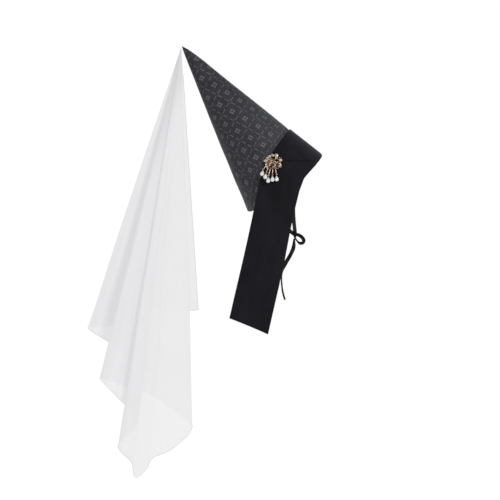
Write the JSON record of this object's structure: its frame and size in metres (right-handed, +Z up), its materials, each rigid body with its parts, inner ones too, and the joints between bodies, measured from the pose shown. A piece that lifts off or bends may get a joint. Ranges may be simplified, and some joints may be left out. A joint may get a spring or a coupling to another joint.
{
  "type": "hennin cone hat",
  "caption": "Tall tilted cone hat in patterned cloth with a velvet frontlet and lappets, a sheer veil hanging from the tip, ribbon ties under the chin and a pearl-drop brooch.",
  "frame": {"origin": "middle of the head opening, on the plane of the cone's rim", "axes": "+Z up and +X forward as worn, +Y to the wearer's left, with the cone leaning back over -X"},
  "size_m": [0.47, 0.1992, 0.8611],
  "materials": {
    "jacquard": "matt woven cloth",
    "velvet": "soft pile",
    "chiffon": "sheer weave",
    "satin": "smooth ribbon",
    "rose_gold": "polished and antiqued",
    "stone": "faceted and glossy",
    "pearl": "soft lustre"
  },
  "bodies": {
    "root": {"cone": "jacquard", "frontlet": "velvet", "veil": "chiffon", "tie_near": "satin", "tie_far": "satin", "tie_bow": "satin", "tie_tail_near": "satin", "tie_tail_far": "satin", "brooch_body": "rose_gold", "brooch_stone_1": "stone", "brooch_stone_2": "stone", "brooch_stone_3": "stone", "brooch_drop_1": "pearl", "brooch_drop_2": "pearl", "brooch_drop_3": "pearl", "brooch_drop_4": "pearl", "brooch_drop_5": "pearl", "brooch_pin": "rose_gold"}
  },
  "joints": []
}
